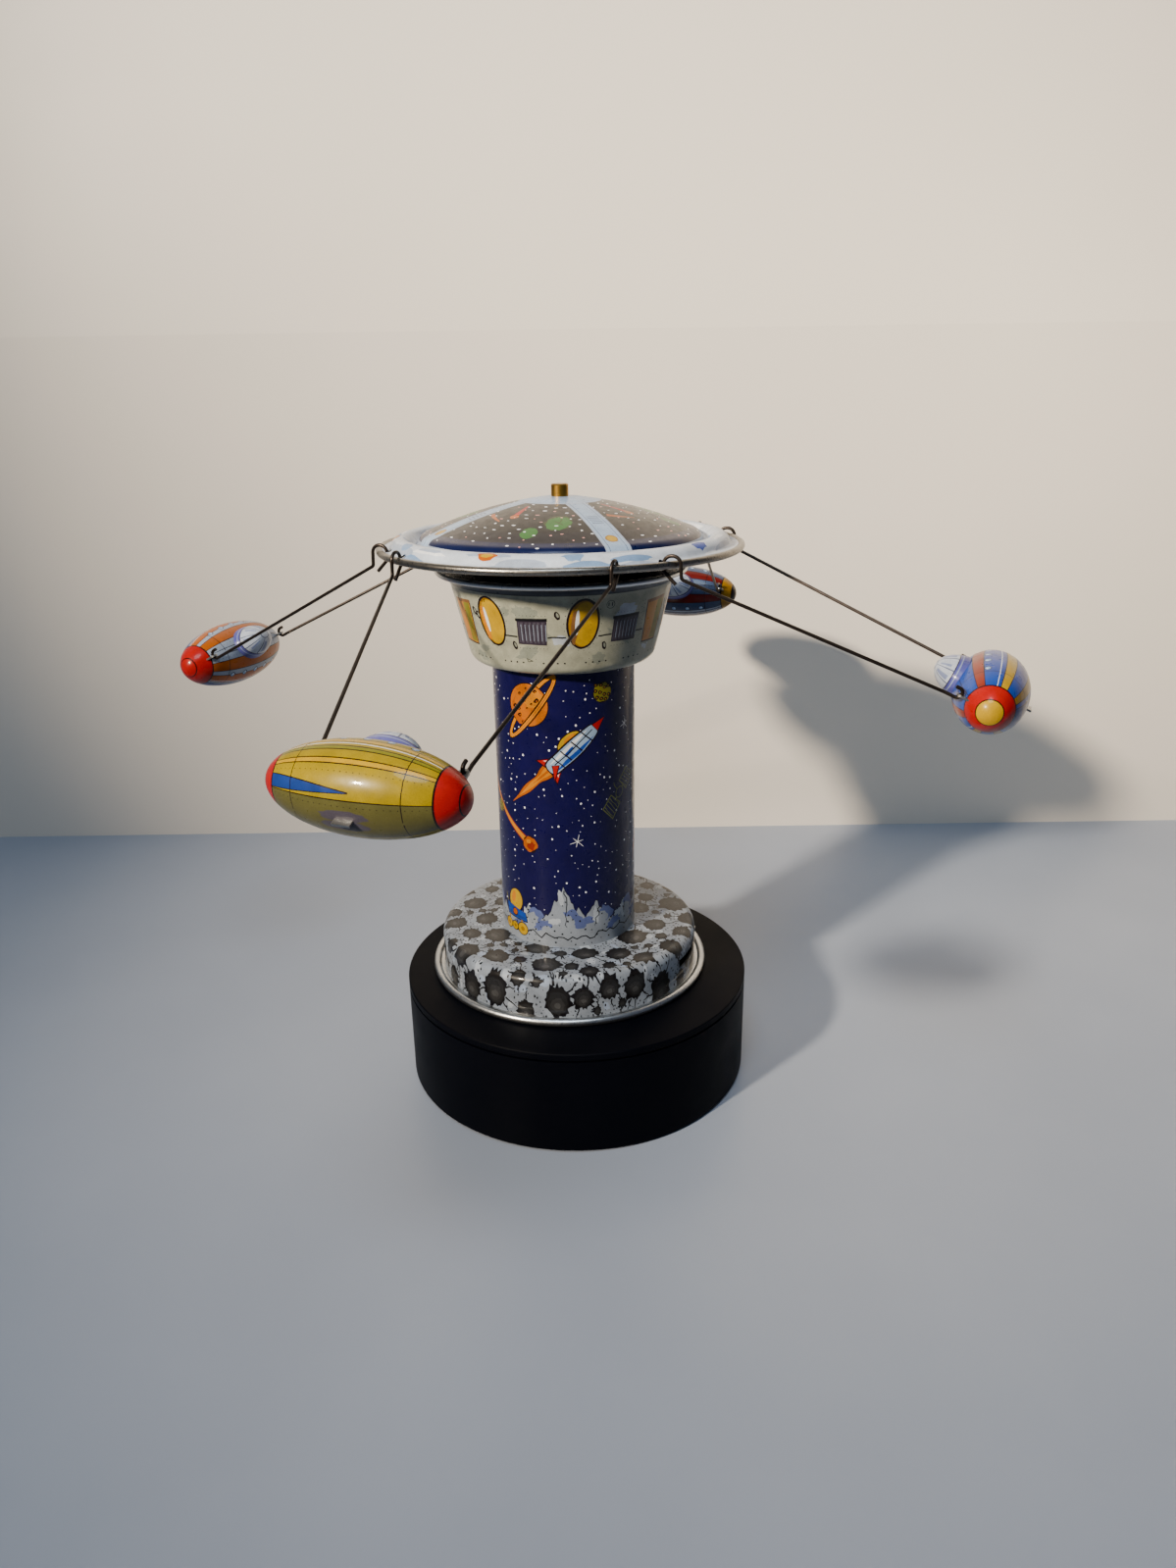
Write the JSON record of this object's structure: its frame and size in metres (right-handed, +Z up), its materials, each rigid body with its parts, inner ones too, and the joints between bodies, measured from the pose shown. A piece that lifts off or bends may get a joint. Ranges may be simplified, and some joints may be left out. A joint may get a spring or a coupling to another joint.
{
  "type": "tin toy space carousel",
  "caption": "Clockwork tin space ride: a printed column on a moon-crater base turns a star-map canopy whose rockets fly outwards on wire hangers, all on a black plinth.",
  "frame": {"origin": "on the canopy's spin axis, level with the plinth's underside; the plinth is centred 3.4 mm to +X and 4.9 mm to -Y of it", "axes": "+Z up along the column; +X towards the stop lever's slot side; -Y is the viewer's side"},
  "size_m": [0.3659, 0.3711, 0.2699],
  "materials": {
    "plinth_black": "matte moulded black",
    "foot_rubber": "soft rubber",
    "crater_tin": "printed and varnished tinplate, moon craters",
    "night_tin": "printed and varnished tinplate, night sky",
    "station_tin": "printed and varnished tinplate, riveted plating",
    "canopy_tin": "printed and varnished tinplate, star map and pale ring",
    "rocket_blue_tin": "printed and varnished tinplate, blue with yellow bands",
    "rocket_yellow_tin": "printed and varnished tinplate, yellow with blue bands",
    "rocket_orange_tin": "printed and varnished tinplate, orange, white and blue",
    "rocket_red_tin": "printed and varnished tinplate, red and grey-blue",
    "dome_tin": "silver-white lacquered tinplate",
    "steel_wire": "dark drawn wire",
    "bare_steel": "bare pressed steel",
    "spring_steel": "blued spring steel",
    "brass": "turned brass"
  },
  "bodies": {
    "plinth": {"plinth_drum": "plinth_black", "plinth_top_disc": "plinth_black", "plinth_feet": "foot_rubber"},
    "toy_frame": {"base_pan": "crater_tin", "column_tube": "night_tin", "column_cap": "bare_steel", "station_ring": "station_tin", "station_rivets": "bare_steel", "top_bearing_bush": "brass", "motor_lower_plate": "bare_steel", "motor_upper_plate": "bare_steel", "motor_bridge": "bare_steel", "motor_pillars": "bare_steel", "motor_screws": "bare_steel", "mainspring": "spring_steel", "brake_rivet": "bare_steel"},
    "great_wheel_body": {"great_wheel": "brass", "click_rivet": "bare_steel", "click_spring": "spring_steel"},
    "click_body": {"click": "bare_steel"},
    "winder": {"winding_key": "bare_steel", "winding_arbor": "bare_steel", "ratchet_wheel": "bare_steel"},
    "lay_body": {"lay_arbor": "bare_steel", "lay_pinion": "bare_steel", "lay_wheel": "brass"},
    "rotor": {"drive_shaft": "bare_steel", "rotor_pinion": "bare_steel", "thrust_collar": "brass", "canopy_hub": "brass", "canopy": "canopy_tin", "brass_cap": "brass"},
    "brake_lever_body": {"brake_lever": "bare_steel"},
    "hanger_right": {"hanger_right_nose_wire": "steel_wire", "hanger_right_tail_wire": "steel_wire"},
    "rocket_right": {"rocket_right_outer_shell": "rocket_blue_tin", "rocket_right_inner_shell": "rocket_blue_tin", "rocket_right_dome": "dome_tin"},
    "hanger_back": {"hanger_back_nose_wire": "steel_wire", "hanger_back_tail_wire": "steel_wire"},
    "rocket_back": {"rocket_back_outer_shell": "rocket_red_tin", "rocket_back_inner_shell": "rocket_red_tin", "rocket_back_dome": "dome_tin"},
    "hanger_left": {"hanger_left_nose_wire": "steel_wire", "hanger_left_tail_wire": "steel_wire"},
    "rocket_left": {"rocket_left_outer_shell": "rocket_orange_tin", "rocket_left_inner_shell": "rocket_orange_tin", "rocket_left_dome": "dome_tin"},
    "hanger_front": {"hanger_front_nose_wire": "steel_wire", "hanger_front_tail_wire": "steel_wire"},
    "rocket_front": {"rocket_front_outer_shell": "rocket_yellow_tin", "rocket_front_inner_shell": "rocket_yellow_tin", "rocket_front_dome": "dome_tin"}
  },
  "joints": [
    {"name": "toy_lift", "type": "slide", "parent": "plinth", "child": "toy_frame", "axis": [0, 0, 1], "range_m": [0, 0.04]},
    {"name": "rotor_spin", "type": "hinge", "parent": "toy_frame", "child": "rotor", "pos_m": [0, 0, 0.199], "axis": [0, 0, 1], "continuous": true},
    {"name": "great_wheel_spin", "type": "hinge", "parent": "toy_frame", "child": "great_wheel_body", "pos_m": [0, 0, 0.084], "axis": [0, 0, 1], "continuous": true},
    {"name": "lay_spin", "type": "hinge", "parent": "toy_frame", "child": "lay_body", "pos_m": [0.01384, -0.00899, 0.084], "axis": [0, 0, 1], "continuous": true},
    {"name": "key_wind", "type": "hinge", "parent": "great_wheel_body", "child": "winder", "pos_m": [0, 0, 0.069], "axis": [0, 0, 1], "continuous": true},
    {"name": "click_lift", "type": "hinge", "parent": "great_wheel_body", "child": "click_body", "pos_m": [0.00827, 0.00694, 0.082], "axis": [0, 0, 1], "range_deg": [0, 12], "stiffness_Nm_per_rad": 0.002, "springref_deg": -5.73},
    {"name": "brake_lever_turn", "type": "hinge", "parent": "toy_frame", "child": "brake_lever_body", "pos_m": [0.02677, 0.00255, 0.061], "axis": [0, 0, 1], "range_deg": [0, 6]},
    {"name": "hanger_right_swing", "type": "hinge", "parent": "rotor", "child": "hanger_right", "pos_m": [0.05748, -0.02115, 0.2451], "axis": [0.3453, 0.9385, 0], "range_deg": [-8, 68]},
    {"name": "rocket_right_tilt", "type": "hinge", "parent": "hanger_right", "child": "rocket_right", "pos_m": [0.15517, -0.05603, 0.19978], "axis": [0.3453, 0.9385, 0], "range_deg": [-20, 20]},
    {"name": "hanger_back_swing", "type": "hinge", "parent": "rotor", "child": "hanger_back", "pos_m": [0.02115, 0.05748, 0.2451], "axis": [-0.9385, 0.3453, 0], "range_deg": [-8, 69]},
    {"name": "rocket_back_tilt", "type": "hinge", "parent": "hanger_back", "child": "rocket_back", "pos_m": [0.06088, 0.15389, 0.20087], "axis": [-0.9385, 0.3453, 0], "range_deg": [-20, 20]},
    {"name": "hanger_left_swing", "type": "hinge", "parent": "rotor", "child": "hanger_left", "pos_m": [-0.05748, 0.02115, 0.2451], "axis": [-0.3453, -0.9385, 0], "range_deg": [-8, 65]},
    {"name": "rocket_left_tilt", "type": "hinge", "parent": "hanger_left", "child": "rocket_left", "pos_m": [-0.153, 0.0531, 0.19336], "axis": [-0.3453, -0.9385, 0], "range_deg": [-20, 20]},
    {"name": "hanger_front_swing", "type": "hinge", "parent": "rotor", "child": "hanger_front", "pos_m": [-0.02115, -0.05748, 0.2451], "axis": [0.9385, -0.3453, 0], "range_deg": [-8, 70]},
    {"name": "rocket_front_tilt", "type": "hinge", "parent": "hanger_front", "child": "rocket_front", "pos_m": [-0.04993, -0.15888, 0.20306], "axis": [0.9385, -0.3453, 0], "range_deg": [-20, 20]}
  ],
  "couplings": [
    {"joint": "lay_spin", "follows": "rotor_spin", "ratio": -0.375},
    {"joint": "great_wheel_spin", "follows": "rotor_spin", "ratio": 0.083333}
  ]
}
